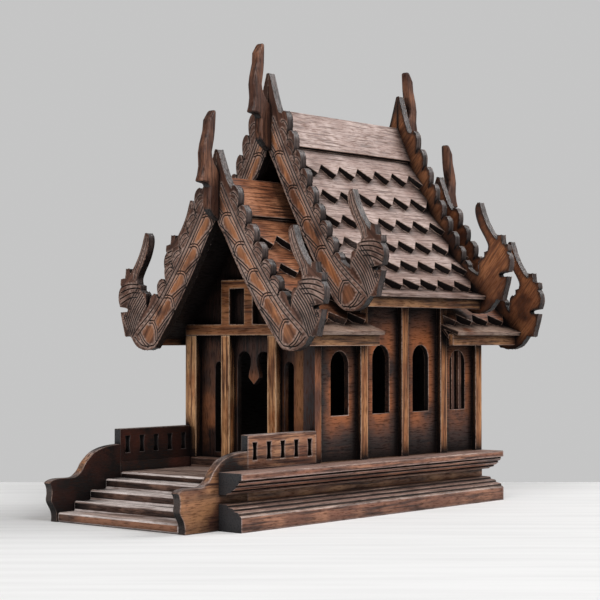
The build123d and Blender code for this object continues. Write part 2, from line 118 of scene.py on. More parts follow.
# Naga head, as shares of its height out from the eave and up
upper_border_end_shares = ((0.000, 0.285), (0.075, 0.222), (0.135, 0.165), (0.176, 0.118))
lower_border_end_shares = ((-0.020, 0.250), (0.045, 0.192), (0.105, 0.135))
foot_border_end_shares = (
    (-0.105, 0.062), (-0.050, 0.037), (0.010, 0.033), (0.060, 0.042), (0.105, 0.072), (0.142, 0.108),
)
lens_arc_shares = ((-0.030, 0.252), (-0.085, 0.245), (-0.125, 0.165), (-0.130, 0.085))
lens_chord_shares = ((-0.025, 0.040), (0.030, 0.080), (0.080, 0.148))
collar_shares = (
    ((0.100, 0.560), (0.180, 0.566), (0.255, 0.560), (0.300, 0.545)),
    ((0.092, 0.528), (0.160, 0.532), (0.240, 0.522), (0.320, 0.497)),
    ((0.104, 0.490), (0.180, 0.492), (0.250, 0.474), (0.335, 0.440)),
    ((0.124, 0.450), (0.190, 0.450), (0.260, 0.427), (0.325, 0.395)),
)
horn_line_shares = (
    ((0.128, 0.600), (0.106, 0.672), (0.068, 0.750), (0.032, 0.825), (0.008, 0.890), (-0.004, 0.955)),
    ((0.160, 0.610), (0.142, 0.685), (0.098, 0.768), (0.058, 0.850), (0.030, 0.910), (0.012, 0.968)),
)
curl_shares = ((0.215, 0.365), (0.262, 0.282))
curl_radius = 2.4
curl_shrink_share = 0.5
curl_points = 18
curl_points_per_turn = 12
mane_count = 8
mane_top_shares = ((0.014, 0.400), (0.112, 0.535))
mane_foot_shares = ((0.178, 0.112), (0.285, 0.262))
mane_bend_share = 0.014

# Mouldings, as shares of their projection and height, with the finish of the face that follows each point:
# plain wood, a ledge painted pale as a highlight, or a quirk painted dark as shade
plinth_shares = (
    (0, 0, "wood"),
    (1, 0, "wood"),
    (1, 0.55, "ledge"),
    (0.965, 0.60, "ledge"),
    (0.90, 0.625, "quirk"),
    (0.89, 0.70, "ledge"),
    (0.85, 0.73, "wood"),
    (0.66, 0.765, "quirk"),
    (0.65, 0.835, "ledge"),
    (0.61, 0.865, "wood"),
    (0.41, 0.895, "quirk"),
    (0.40, 0.965, "ledge"),
    (0.35, 0.99, "wood"),
    (0, 1, "quirk"),
)
cornice_shares = (
    (0, 0, "wood"),
    (0.33, 0, "ledge"),
    (0.37, 0.06, "wood"),
    (0.57, 0.13, "quirk"),
    (0.54, 0.20, "ledge"),
    (0.63, 0.23, "wood"),
    (0.77, 0.36, "quirk"),
    (0.74, 0.43, "ledge"),
    (0.83, 0.47, "wood"),
    (0.90, 0.58, "quirk"),
    (0.87, 0.655, "ledge"),
    (1, 0.69, "wood"),
    (1, 0.965, "ledge"),
    (0.97, 1, "wood"),
    (0, 1, "quirk"),
)

# Meshing of the boards and eased edges, in millimetres and degrees
grid_pitch = 1.7
outline_pitch = 1.3
curve_pitch = 0.8
rim_clearance = 0.5
rim_marks = 3
face_merge = 0.02
back_merge = 0.0001
flat_gap = 0.01
key_digits = 2
ahead_share = 0.01
soft_corner = 50.0
edge_bevel = 0.45
step_bevel = 1.5
chofa_bevel = 1.8
weld_gap = 0.01
flat_angle = 0.5
sharp_angle = 35.0

# Middle of the hall, spacing of its posts, and where wear, stain, painted shade and painted highlight begin
# and are full, in millimetres
hall_y = 50.133
post_step = 58.3
wall_wear_rise = (62.0, 84.0)
wall_wear_fall = (172.0, 140.0)
front_wear_fall = (135.0, 85.0)
jamb_out = (46.0, 50.0)
jamb_wear_rise = (66.0, 92.0)
jamb_wear_fall = (148.0, 125.0)
corner_post_out = (60.5, 61.5)
step_dirt_out = (40.0, 64.0)
first_riser_fall = (8.5, 7.5)
next_riser_rise = (8.5, 9.5)
stair_back = (-130.0, -100.0)
cheek_dark_rise = (24.0, 40.0)
cheek_gold_fall = (34.0, 16.0)
cheek_inward = (-20.0, -60.0)
eave_highlight_fall = (166.0, 160.0)
hall_inward = (0, -20.0)

# How far the painted shade in corners and the worn edges reach, in millimetres
seam_gloom = 4.0
carved_gloom = 6.0
step_gloom = 7.0
base_gloom = 12.0
deck_gloom = 14.0
post_gloom = 20.0
plain_gloom = 22.0
plank_gloom = 24.0
wall_gloom = 30.0
cheek_gloom = 40.0
edge_wear = 2.0
inner_edge_wear = 5.0

# Grain: scale of its noise, shares that draw it out, depth of a pore in millimetres, slope in degrees
streak_scale = 450
low_plank_scale = 620
main_plank_scale = 720
inner_scale = 900
fibre_scale = 1000
patch_scale = 38
carved_streak_scale = 260
carved_fibre_scale = 1300
carved_patch_scale = 60
table_streak_scale = 150
streak_share = 0.045
pore_share = 0.13
carved_grain_share = 0.06
table_grain_share = 0.05
pore_depth = 0.4
inner_tilt = -40.0

# Colours that more than one wood has
# Near black for painted shade in corners, under things, inside the hall and by the posts, and for black
# stain, dirt and carved lines
stain_and_shade_black = (0.007, 0.005, 0.005)
dark_red = (0.060, 0.015, 0.009)
end_grey = (0.036, 0.036, 0.039)
end_brown = (0.016, 0.009, 0.007)
worn_grey = (0.38, 0.28, 0.25)
cheek_dark = (0.060, 0.023, 0.015)
# Painted highlight for the stair cheeks' faces that look up
cheek_top_highlight = (0.36, 0.30, 0.285)


# Shader nodes
def new_material(name):
    """An empty node material with its shader."""
    material = bpy.data.materials.new(name)
    material.use_nodes = True
    return material, material.node_tree, material.node_tree.nodes["Principled BSDF"]


def fill(tree, socket, value):
    """Put a value, a colour or a link on a socket."""
    if isinstance(value, bpy.types.NodeSocket):
        tree.links.new(value, socket)
    elif socket.type == "RGBA":
        socket.default_value = (*value, 1)
    else:
        socket.default_value = value


def add_node(tree, kind, **inputs):
    """A shader node with its named inputs filled."""
    node = tree.nodes.new(kind)
    for key, value in inputs.items():
        fill(tree, node.inputs[key.replace("_", " ")], value)
    return node


def mix_colour(tree, factor, low, high):
    """Colour between two colours, each a value or a link."""
    node = tree.nodes.new("ShaderNodeMix")
    node.data_type = "RGBA"
    for socket, value in ((node.inputs[0], factor), (node.inputs[6], low), (node.inputs[7], high)):
        fill(tree, socket, value)
    return node.outputs[2]


def spread(tree, value, low, high, low_out=0.0, high_out=1.0):
    """A value spread from one range to another, held at its ends."""
    node = add_node(tree, "ShaderNodeMapRange", Value=value)
    node.inputs["From Min"].default_value = low
    node.inputs["From Max"].default_value = high
    node.inputs["To Min"].default_value = low_out
    node.inputs["To Max"].default_value = high_out
    return node.outputs["Result"]


def product(tree, first, *others):
    """Links multiplied."""
    for other in others:
        node = tree.nodes.new("ShaderNodeMath")
        node.operation = "MULTIPLY"
        tree.links.new(first, node.inputs[0])
        tree.links.new(other, node.inputs[1])
        first = node.outputs[0]
    return first


def noise(tree, vector, scale, detail):
    """Noise along a vector."""
    node = add_node(tree, "ShaderNodeTexNoise", Vector=vector, Scale=scale, Detail=detail)
    return node.outputs["Fac"]


def stretched(tree, vector, grain, share):
    """Coordinates drawn out along the grain."""
    scale = [share if axis == grain else 1 for axis in "XYZ"]
    return add_node(tree, "ShaderNodeMapping", Vector=vector, Scale=scale).outputs[0]


def attribute(tree, name):
    """A value stored on a mesh."""
    node = tree.nodes.new("ShaderNodeAttribute")
    node.attribute_name = name
    return node.outputs


def bumped(tree, shader, height, strength):
    """Pores pressed into the surface."""
    bump = add_node(tree, "ShaderNodeBump", Height=height, Strength=strength, Distance=pore_depth * mm)
    tree.links.new(bump.outputs[0], shader.inputs["Normal"])


# Where on the house a point lies and which way it faces
def coordinate(tree, place, axis):
    """A point's place along an axis."""
    return add_node(tree, "ShaderNodeSeparateXYZ", Vector=place.outputs["Object"]).outputs[axis]


def facing(tree, place, axis):
    """Part of a face's outward direction that lies along an axis."""
    return add_node(tree, "ShaderNodeSeparateXYZ", Vector=place.outputs["Normal"]).outputs[axis]


def facing_share(tree, place, axis, low, high):
    """How far a face's own outward direction leans along an axis."""
    return spread(tree, facing(tree, place, axis), low, high)


def reached(tree, length, ends):
    """How far a length has come from the first to the second of two ends in millimetres."""
    start, full = ends
    return spread(tree, length, start * mm, full * mm)


def corner_light(tree, reach, low, high, convex=False, samples=8):
    """Share of open air round a point, or of wood behind it for the convex edges."""
    shade = add_node(tree, "ShaderNodeAmbientOcclusion", Distance=reach * mm)
    shade.samples = samples
    shade.inside = convex
    shade.only_local = convex
    return spread(tree, shade.outputs["AO"], low, high)


def inner_share(tree, place):
    """Which faces look in on the hall."""
    from_middle = add_node(tree, "ShaderNodeVectorMath", Vector=place.outputs["Object"])
    from_middle.operation = "MULTIPLY_ADD"
    from_middle.inputs[1].default_value = (1, 1, 0)
    from_middle.inputs[2].default_value = (0, -hall_y * mm, 0)
    lean = tree.nodes.new("ShaderNodeVectorMath")
    lean.operation = "DOT_PRODUCT"
    tree.links.new(from_middle.outputs[0], lean.inputs[0])
    tree.links.new(place.outputs["Normal"], lean.inputs[1])
    return reached(tree, lean.outputs["Value"], hall_inward)


# Wear, stain, painted shade and painted highlights of each kind of piece
def hall_inside_shade(tree, place, body, patch):
    """Painted shade: black on the faces inside the hall."""
    return mix_colour(tree, inner_share(tree, place), body, stain_and_shade_black)


def wall_wear_and_shade(tree, place, body, patch):
    """Stain worn to orange round the windows and left dark under the roof and at the foot, with painted shade
    black by the posts.
    """
    phase = add_node(tree, "ShaderNodeMapRange", Value=coordinate(tree, place, "Y"))
    phase.clamp = False
    phase.inputs["From Min"].default_value = hall_y * mm
    phase.inputs["From Max"].default_value = (hall_y + post_step) * mm
    phase.inputs["To Min"].default_value = pi
    phase.inputs["To Max"].default_value = 3 * pi
    wave = tree.nodes.new("ShaderNodeMath")
    wave.operation = "COSINE"
    tree.links.new(phase.outputs[0], wave.inputs[0])
    bay = spread(tree, wave.outputs[0], -0.75, 0.35)
    height = coordinate(tree, place, "Z")
    rise = reached(tree, height, wall_wear_rise)
    fall = reached(tree, height, wall_wear_fall)
    side = facing_share(tree, place, "X", 0.4, 0.8)
    worn = product(tree, bay, rise, fall, spread(tree, patch, 0.32, 0.54), side)
    # Painted shade: the wall turned black by the posts
    body = mix_colour(tree, worn, mix_colour(tree, bay, stain_and_shade_black, body), (0.36, 0.108, 0.031))
    return hall_inside_shade(tree, place, body, patch)


def front_wear_and_shade(tree, place, body, patch):
    """Stain worn to orange low down between the posts and to gold at the right, with painted shade black
    inside the hall.
    """
    height = coordinate(tree, place, "Z")
    worn = product(tree, reached(tree, height, front_wear_fall), spread(tree, patch, 0.36, 0.58))
    body = mix_colour(tree, worn, body, (0.36, 0.125, 0.046))
    across = coordinate(tree, place, "X")
    jamb = product(tree, reached(tree, across, jamb_out), spread(tree, patch, 0.30, 0.52))
    jamb = product(tree, jamb, reached(tree, height, jamb_wear_fall), reached(tree, height, jamb_wear_rise))
    body = mix_colour(tree, jamb, body, (0.42, 0.17, 0.062))
    return hall_inside_shade(tree, place, body, patch)


def corner_post_shade_and_stain(tree, place, body, patch):
    """The right-hand corner post darkened, with painted shade on its front and reddish at its side."""
    dark = mix_colour(tree, spread(tree, patch, 0.40, 0.62), (0.022, 0.016, 0.017), (0.075, 0.040, 0.036))
    reddish = mix_colour(tree, spread(tree, patch, 0.36, 0.56), (0.090, 0.030, 0.016), (0.26, 0.090, 0.036))
    # Painted shade: faces other than the one that looks right are left dark
    shaded_front_red_side = mix_colour(tree, facing_share(tree, place, "X", 0.5, 0.8), dark, reddish)
    return mix_colour(tree, reached(tree, coordinate(tree, place, "X"), corner_post_out), body, shaded_front_red_side)


def step_rub(tree, place, body, patch):
    """The lowest riser worn to orange, the ends of the steps above it black with dirt."""
    height = coordinate(tree, place, "Z")
    from_middle = add_node(tree, "ShaderNodeMath", Value=coordinate(tree, place, "X"))
    from_middle.operation = "ABSOLUTE"
    ends = reached(tree, from_middle.outputs[0], step_dirt_out)
    dirt = product(tree, ends, spread(tree, patch, 0.75, 0.45), reached(tree, height, next_riser_rise))
    body = mix_colour(tree, dirt, body, stain_and_shade_black)
    first = product(tree, reached(tree, height, first_riser_fall), spread(tree, patch, 0.3, 0.5))
    return mix_colour(tree, first, body, (0.34, 0.150, 0.082))


def nosing_rub(tree, place, body, patch):
    """Edges worn pale at the stairs and left brown behind them."""
    behind = reached(tree, coordinate(tree, place, "Y"), stair_back)
    return mix_colour(tree, behind, body, (0.10, 0.05, 0.033))


def cheek_rub(tree, place, body, patch):
    """Faces that look in on the stairs, left dark."""
    lean = product(tree, coordinate(tree, place, "X"), facing(tree, place, "X"))
    dark = mix_colour(tree, spread(tree, patch, 0.45, 0.7), stain_and_shade_black, dark_red)
    return mix_colour(tree, reached(tree, lean, cheek_inward), body, dark)


def glow_rub(tree, place, body, patch):
    """Stair cheeks worn to gold low down, dark along the curved top and inside."""
    height = coordinate(tree, place, "Z")
    dark = product(tree, reached(tree, height, cheek_dark_rise), spread(tree, patch, 0.62, 0.42))
    body = mix_colour(tree, dark, body, stain_and_shade_black)
    gold = product(tree, reached(tree, height, cheek_gold_fall), spread(tree, patch, 0.34, 0.56))
    return cheek_rub(tree, place, mix_colour(tree, gold, body, (0.60, 0.285, 0.125)), patch)


def mottle_rub(tree, place, body, patch):
    """Dark stain left in patches."""
    return mix_colour(tree, spread(tree, patch, 0.46, 0.32, 0.0, 0.85), body, stain_and_shade_black)


def eave_highlight(tree, place, body, patch):
    """Painted highlight: the lowest plank of a low roof turned pale in patches."""
    height = coordinate(tree, place, "Z")
    worn = product(tree, reached(tree, height, eave_highlight_fall), spread(tree, patch, 0.30, 0.50))
    return mix_colour(tree, worn, body, (0.52, 0.36, 0.28))


# Woods
def wood(name, dark, middle, pale, grain, roughness=0.40, wear=0.5, corner=plain_gloom, gloom=0.40,
         end=None, top=None, top_streak=(0.3, 0.5), edge=None, edge_reach=edge_wear, rub=None,
         painted_shade_under=True, tilt=0.0, scale=streak_scale):
    """Stained wood: streaks and pores along the grain, pale patches, painted highlights on faces that look
    up, and painted shade blackening corners and undersides.
    """
    material, tree, shader = new_material(name)
    place = tree.nodes.new("ShaderNodeTexCoord")
    spot = place.outputs["Object"]
    turned = add_node(tree, "ShaderNodeMapping", Vector=spot, Rotation=(0, radians(tilt), 0)).outputs[0]
    streak = noise(tree, stretched(tree, turned, grain, streak_share), scale, 7)
    fibre = noise(tree, stretched(tree, turned, grain, pore_share), fibre_scale, 5)
    patch = noise(tree, spot, patch_scale, 6)
    body = mix_colour(tree, spread(tree, streak, 0.36, 0.58), dark, middle)
    bare = spread(tree, patch, 0.62 - 0.3 * wear, 0.78 - 0.2 * wear)
    body = mix_colour(tree, product(tree, bare, spread(tree, streak, 0.36, 0.56)), body, pale)
    # Painted highlight: faces that look up turned pale, as if they catch the light
    if top:
        top_highlight = product(tree, facing_share(tree, place, "Z", 0.7, 0.9), spread(tree, streak, *top_streak))
        body = mix_colour(tree, top_highlight, body, top)
    if edge:
        convex = corner_light(tree, edge_reach, 0.93, 0.62, convex=True)
        body = mix_colour(tree, product(tree, convex, spread(tree, streak, 0.34, 0.5)), body, edge)
    if rub:
        body = rub(tree, place, body, patch)
    body = mix_colour(tree, spread(tree, fibre, 0.35, 0.48, 0.6, 0.0), body, dark)
    if end:
        for low, high in ((0.75, 0.9), (-0.75, -0.9)):
            body = mix_colour(tree, facing_share(tree, place, grain, low, high), body, end)
    # Painted shade: faces that look down turned black
    if painted_shade_under:
        body = mix_colour(tree, facing_share(tree, place, "Z", -0.15, -0.5), body, stain_and_shade_black)
    # Painted shade: corners and crevices blackened by ambient occlusion
    lit = corner_light(tree, corner, gloom, 0.95)
    body = mix_colour(tree, lit, stain_and_shade_black, body)
    tree.links.new(body, shader.inputs["Base Color"])
    dullness = spread(tree, fibre, 0.3, 0.7, roughness + 0.12, roughness - 0.06)
    tree.links.new(dullness, shader.inputs["Roughness"])
    gloss = product(tree, spread(tree, fibre, 0.34, 0.5, 0.15, 0.5), spread(tree, lit, 0.0, 1.0, 0.2, 1.0))
    tree.links.new(gloss, shader.inputs["Specular IOR Level"])
    bumped(tree, shader, fibre, 0.5)
    return material


# Each has dark, middle and pale colours, the way of its grain, roughness, wear, and reach and depth of the
# painted shade in its corners
# A top colour is a painted highlight on the faces that look up
base_wood = wood(
    "base_wood", (0.050, 0.021, 0.014), (0.235, 0.095, 0.057), (0.43, 0.200, 0.115), "Y", 0.44, 0.6,
    base_gloom, 0.10, end=end_grey, top=(0.36, 0.23, 0.19), edge=worn_grey, painted_shade_under=False,
)
cheek_wood = wood(
    "cheek_wood", cheek_dark, (0.290, 0.112, 0.062), (0.52, 0.255, 0.125), "Y", 0.46, 0.75,
    cheek_gloom, 0.30, end=(0.066, 0.049, 0.044), top=cheek_top_highlight, edge=worn_grey, rub=glow_rub,
)
rail_wood = wood(
    "rail_wood", cheek_dark, (0.320, 0.125, 0.071), (0.56, 0.280, 0.148), "Y", 0.46, 0.75,
    cheek_gloom, 0.30, end=end_grey, top=cheek_top_highlight, edge=worn_grey, rub=cheek_rub,
)
waist_wood = wood(
    "waist_wood", (0.045, 0.020, 0.012), (0.22, 0.095, 0.048), (0.46, 0.24, 0.12), "Y", 0.48, 0.7,
    seam_gloom, 0.10, end=end_grey, rub=cheek_rub,
)
step_wood = wood(
    "step_wood", (0.018, 0.011, 0.009), (0.085, 0.042, 0.030), (0.30, 0.160, 0.108), "X", 0.48, 0.5,
    step_gloom, 0.33, end=end_grey, top=(0.85, 0.74, 0.70), top_streak=(0.36, 0.50), edge=(0.70, 0.60, 0.56),
    rub=step_rub,
)
deck_wood = wood(
    "deck_wood", (0.030, 0.016, 0.012), (0.110, 0.054, 0.037), (0.28, 0.145, 0.095), "X", 0.48, 0.6,
    deck_gloom, 0.34, end=end_grey, top=(0.50, 0.365, 0.31), top_streak=(0.40, 0.60), edge=(0.66, 0.56, 0.52),
)
wall_wood = wood(
    "wall_wood", (0.014, 0.008, 0.007), (0.058, 0.024, 0.017), (0.15, 0.052, 0.024), "Y", 0.42, 0.5,
    wall_gloom, 0.55, rub=wall_wear_and_shade,
)
front_wood = wood(
    "front_wood", (0.014, 0.009, 0.008), (0.060, 0.025, 0.017), (0.19, 0.072, 0.034), "Z", 0.42, 0.5,
    wall_gloom, 0.50, rub=front_wear_and_shade,
)
back_wood = wood(
    "back_wood", (0.026, 0.012, 0.008), (0.100, 0.039, 0.022), (0.27, 0.100, 0.043), "Z", 0.42, 0.6,
    wall_gloom, 0.50, rub=hall_inside_shade,
)
post_wood = wood(
    "post_wood", (0.070, 0.022, 0.008), (0.31, 0.107, 0.033), (0.50, 0.225, 0.088), "Z", 0.54, 0.7,
    post_gloom, 0.62, edge=(0.50, 0.31, 0.18),
)
porch_post = wood(
    "porch_post", (0.075, 0.024, 0.009), (0.42, 0.158, 0.054), (0.80, 0.43, 0.20), "Z", 0.54, 0.8,
    post_gloom, 0.62, edge=(0.74, 0.50, 0.31), rub=corner_post_shade_and_stain,
)
frame_wood = wood(
    "frame_wood", (0.060, 0.020, 0.008), (0.26, 0.092, 0.033), (0.45, 0.195, 0.080), "X", 0.52, 0.6,
    post_gloom, 0.50, edge=(0.46, 0.28, 0.16),
)
beam_wood = wood(
    "beam_wood", (0.050, 0.020, 0.009), (0.20, 0.079, 0.034), (0.43, 0.22, 0.10), "Y", 0.50, 0.7,
)
# The main roof's pale pinkish colours are partly painted sheen, the sky's reflection on the roof made part of
# the wood
main_plank = wood(
    "main_plank", (0.155, 0.090, 0.070), (0.365, 0.240, 0.203), (0.54, 0.405, 0.36), "Y", 0.50, 0.7,
    plank_gloom, 0.52, end=end_brown, scale=main_plank_scale,
)
low_plank = wood(
    "low_plank", (0.075, 0.024, 0.011), (0.320, 0.110, 0.047), (0.54, 0.235, 0.120), "Y", 0.50, 0.65,
    plank_gloom, 0.50, end=end_brown, rub=eave_highlight, scale=low_plank_scale,
)
horn_wood = wood(
    "horn_wood", (0.026, 0.011, 0.008), (0.105, 0.041, 0.024), (0.25, 0.106, 0.056), "Z", 0.44, 0.6,
)
inner_wood = wood(
    "inner_wood", (0.120, 0.041, 0.018), (0.155, 0.053, 0.023), (0.38, 0.150, 0.060), "Z", 0.48, 0.70,
    tilt=inner_tilt, edge=end_brown, edge_reach=inner_edge_wear, rub=mottle_rub, scale=inner_scale,
)
# Near black for the quirks of the mouldings: painted shade
quirk_shade_wood = wood("quirk_shade_wood", (0.010, 0.007, 0.006), (0.036, 0.019, 0.014), (0.08, 0.042, 0.030), "Y")

# Woods of the eased edges
edge_wood = wood(
    "edge_wood", (0.012, 0.008, 0.007), (0.048, 0.031, 0.028), (0.12, 0.086, 0.078), "Z", 0.46, 0.6,
    top=(0.19, 0.157, 0.148),
)
# Worn edges; on the ledges of the mouldings the pale wood is a painted highlight
worn_colours = ((0.07, 0.036, 0.025), (0.26, 0.155, 0.115), (0.46, 0.33, 0.27))
worn_edge_and_ledge_highlight = wood("worn_edge_and_ledge_highlight", *worn_colours, "Y", 0.46, 0.7, seam_gloom, 0.05, painted_shade_under=False)
cheek_edge = wood("cheek_edge", *worn_colours, "Y", 0.46, 0.7, seam_gloom, 0.05, rub=cheek_rub)
nosing_wood = wood(
    "nosing_wood", (0.22, 0.150, 0.125), (0.76, 0.655, 0.62), (0.86, 0.77, 0.74), "X", 0.5, 0.7,
    seam_gloom, 0.05, rub=nosing_rub, painted_shade_under=False,
)


def carved_material():
    """Board face: orange worn panels, black lines, painted highlights on the ridges beside them and painted
    shade in its corners.
    """
    material, tree, shader = new_material("carved_wood")
    place = tree.nodes.new("ShaderNodeTexCoord")
    along = attribute(tree, "along")["Vector"]
    streak = noise(tree, along, carved_streak_scale, 4)
    fibre = noise(tree, along, carved_fibre_scale, 3)
    patch = noise(tree, place.outputs["Object"], carved_patch_scale, 4)
    body = mix_colour(tree, spread(tree, streak, 0.36, 0.66), (0.034, 0.014, 0.009), (0.170, 0.078, 0.052))
    orange = mix_colour(tree, spread(tree, streak, 0.32, 0.66), (0.21, 0.066, 0.025), (0.66, 0.275, 0.115))
    panel = product(tree, attribute(tree, "panel")["Fac"], spread(tree, patch, 0.25, 0.5))
    body = mix_colour(tree, panel, body, orange)
    # Painted highlight: pale ridges beside the grooves
    rim = product(tree, attribute(tree, "rim")["Fac"], spread(tree, patch, 0.28, 0.54))
    body = mix_colour(tree, rim, body, (0.56, 0.40, 0.335))
    body = mix_colour(tree, spread(tree, attribute(tree, "groove")["Fac"], 0.15, 0.75), body, stain_and_shade_black)
    # Painted shade: corners blackened by ambient occlusion
    body = mix_colour(tree, corner_light(tree, carved_gloom, 0.35, 0.85, samples=6), stain_and_shade_black, body)
    tree.links.new(body, shader.inputs["Base Color"])
    tree.links.new(spread(tree, fibre, 0.3, 0.7, 0.36, 0.54), shader.inputs["Roughness"])
    bumped(tree, shader, fibre, 0.3)
    return material


carved_wood = carved_material()

# The first part of a name that fits gives a node its wood
node_woods = (
    ("main_roof", main_plank),
    ("roof_", low_plank),
    ("eave_beams", beam_wood),
    ("chofa", horn_wood),
    ("front_posts", porch_post),
    ("posts", post_wood),
    ("gable_frame", frame_wood),
    ("window_bars", horn_wood),
    ("stair_steps", step_wood),
    ("platform", deck_wood),
    ("stair_cheek", cheek_wood),
    ("railing", rail_wood),
    ("waist", waist_wood),
    ("base_back", step_wood),
    ("front_wall", front_wood),
    ("back_wall", back_wood),
    ("hall_gable", back_wood),
    ("wall", wall_wood),
    ("", base_wood),
)

# In the same way, the wood of a node's eased edges and their width
node_edges = (
    ("chofa", horn_wood, chofa_bevel),
    ("front_posts", porch_post, edge_bevel),
    ("base_back", edge_wood, edge_bevel),
    ("front_wall", edge_wood, edge_bevel),
    ("stair_steps", nosing_wood, step_bevel),
    ("platform", nosing_wood, step_bevel),
    ("stair_cheek", cheek_edge, edge_bevel),
    ("railing_left", edge_wood, edge_bevel),
    ("railing", cheek_edge, edge_bevel),
    ("waist", cheek_edge, edge_bevel),
    ("", worn_edge_and_ledge_highlight, edge_bevel),
)


def round_edges(piece, width, worn_slot=1, weights=None):
    """Ease a piece's sharp edges, or those with weights, showing the worn wood on them."""
    weld = piece.modifiers.new("weld", "WELD")
    weld.merge_threshold = weld_gap * mm
    if not weights:
        flat = piece.modifiers.new("flat", "DECIMATE")
        flat.decimate_type = "DISSOLVE"
        flat.angle_limit = radians(flat_angle)
    ease = piece.modifiers.new("ease", "BEVEL")
    ease.width = width * mm
    ease.segments = 2
    ease.limit_method = "WEIGHT" if weights else "ANGLE"
    ease.edge_weight = weights or ""
    ease.angle_limit = radians(sharp_angle)
    ease.use_clamp_overlap = False
    ease.material = worn_slot


for name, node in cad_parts.items():
    own_wood = next(choice for part, choice in node_woods if part in name)
    worn_wood, bevel = next(choice for part, *choice in node_edges if part in name)
    node.data.materials.clear()
    node.data.materials.append(own_wood)
    node.data.materials.append(worn_wood)
    round_edges(node, bevel)


# Mouldings of the base
def mould(name, shares):
    """A moulding with sharp quirks painted dark as shade and ledges painted pale as highlights, drawn along
    in place of the plain one.
    """
    low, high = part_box(name)
    side = 1 if name.endswith("right") else -1
    inner, outer = sorted((abs(low.x), abs(high.x)))
    corners = []
    for y in (low.y, high.y):
        for out, up, finish in shares:
            corners.append((side * (inner + out * (outer - inner)), y, low.z + up * (high.z - low.z)))
    count = len(shares)
    faces = [[i, (i + 1) % count, count + (i + 1) % count, count + i][::side] for i in range(count)]
    faces += [list(range(count))[::-side], list(range(count, 2 * count))[::side]]
    mesh = bpy.data.meshes.new(f"moulded_{name}")
    mesh.from_pydata(corners, [], faces)
    # Ledges take the pale worn wood as a painted highlight, quirks the near black wood as painted shade
    finishes = {"wood": base_wood, "ledge": worn_edge_and_ledge_highlight, "quirk": quirk_shade_wood}
    for material in finishes.values():
        mesh.materials.append(material)
    slots = [list(finishes).index(finish) for out, up, finish in shares] + [0, 0]
    mesh.polygons.foreach_set("material_index", slots)
    piece = bpy.data.objects.new(f"moulded_{name}", mesh)
    bpy.context.collection.objects.link(piece)
    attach(piece, "root")
    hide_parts(name)


for side in ("left", "right"):
    mould(f"plinth_moulding_{side}", plinth_shares)
    mould(f"cornice_moulding_{side}", cornice_shares)


# Lines of the carving
def roof_point(roof, share, drop=0):
    """Point on a roof's line at a share of its half span, let down by a drop."""
    fall = (1 + roof_sag_share) * share - roof_sag_share * share**2
    return Vector((roof["half_span"] * share, roof["ridge"] - (roof["ridge"] - roof["eave"]) * fall - drop))


def slope_ahead(roof, share):
    """Direction of a roof's line, down towards the eave."""
    return (roof_point(roof, share + ahead_share) - roof_point(roof, share)).normalized()


def naga_point(roof, out, up):
    """Point on the naga head, from shares of its height."""
    x = roof["half_span"] - roof["naga_in"] + naga_h * out
    z = roof["eave"] - naga_drop + naga_h * up
    return Vector((x, z))


def between(first, second, share):
    """Point at a share of the way between two points."""
    return first + share * (second - first)


def square_to(direction):
    """Direction turned a quarter to the right."""
    return Vector((direction.y, -direction.x))


def curve_through(points):
    """Smooth line through points, in short even steps."""
    line = []
    padded = [2 * points[0] - points[1], *points, 2 * points[-1] - points[-2]]
    for a, b, c, d in zip(padded, padded[1:], padded[2:], padded[3:]):
        steps = max(1, ceil((c - b).length / curve_pitch))
        for i in range(steps):
            t = i / steps
            line.append(b + 0.5 * t * (c - a + t * (2 * a - 5 * b + 4 * c - d + t * (3 * (b - c) + d - a))))
    line.append(points[-1])
    return line


def beside(line, gap):
    """A line moved sideways by a gap, to its right as it is drawn."""
    moved = []
    for i, point in enumerate(line):
        ahead = line[min(i + 1, len(line) - 1)] - line[max(i - 1, 0)]
        moved.append(point + gap * square_to(ahead).normalized())
    return moved


def node_arc(roof, share):
    """Arc across the board like a bamboo joint, bulging towards the ridge."""
    ahead = slope_ahead(roof, share)
    points = []
    for i in range(arc_points):
        across = i / (arc_points - 1)
        point = roof_point(roof, share) + (arc_top + arc_span * across) * square_to(ahead)
        points.append(point - ahead * node_bulge * sin(pi * across))
    return points


def curl(centre):
    """A small spiral that closes in on its centre."""
    points = []
    for i in range(curl_points):
        turns = i / curl_points_per_turn
        way = Vector((cos(2 * pi * turns), sin(2 * pi * turns)))
        points.append(centre + curl_radius * (1 - curl_shrink_share * turns) * way)
    return points


